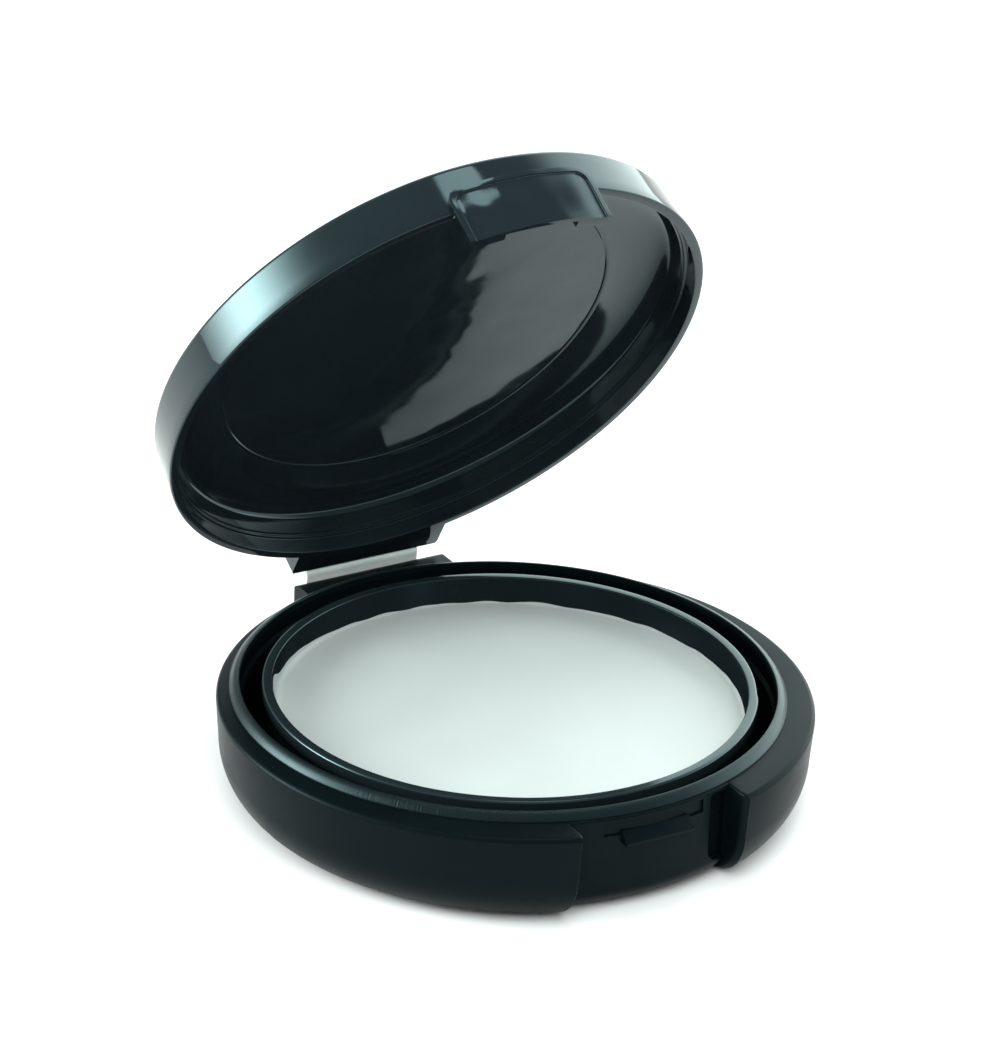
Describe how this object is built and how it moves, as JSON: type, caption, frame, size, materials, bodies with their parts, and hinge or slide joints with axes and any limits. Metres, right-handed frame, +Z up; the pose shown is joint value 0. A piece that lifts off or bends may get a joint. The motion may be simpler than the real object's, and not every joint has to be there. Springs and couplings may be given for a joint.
{
  "type": "hinged wet palette",
  "caption": "Small round wet palette: a moulded base with a drop-in pan holding a damp sponge under palette paper, and a snap-shut lid on a flexible strip hinge.",
  "frame": {"origin": "middle of the flat underside, on the axis of the pan and of the round ring about it", "axes": "+Z up from the table, +Y towards the hinge, -Y towards the latch, +X to the right as seen from the latch"},
  "size_m": [0.0702, 0.0769, 0.0764],
  "materials": {
    "base_plastic": "satin black moulded plastic",
    "pan_plastic": "semi-gloss black moulded plastic",
    "sponge_foam": "damp open-cell sponge",
    "palette_paper": "damp, slightly translucent palette paper",
    "hinge_strip": "frosted translucent flexible plastic",
    "lid_plastic": "polished black moulded plastic"
  },
  "bodies": {
    "base": {"base_shell": "base_plastic", "inner_pan": "pan_plastic", "sponge": "sponge_foam", "palette_paper": "palette_paper", "hinge_strip_base_leaf": "hinge_strip"},
    "lid": {"lid_shell": "lid_plastic", "hinge_strip_lid_leaf": "hinge_strip"}
  },
  "joints": [
    {"name": "lid_hinge", "type": "hinge", "parent": "base", "child": "lid", "pos_m": [0, 0.03685, 0.01241], "axis": [-1, 0, 0], "range_deg": [-59.8, 50.2]}
  ]
}
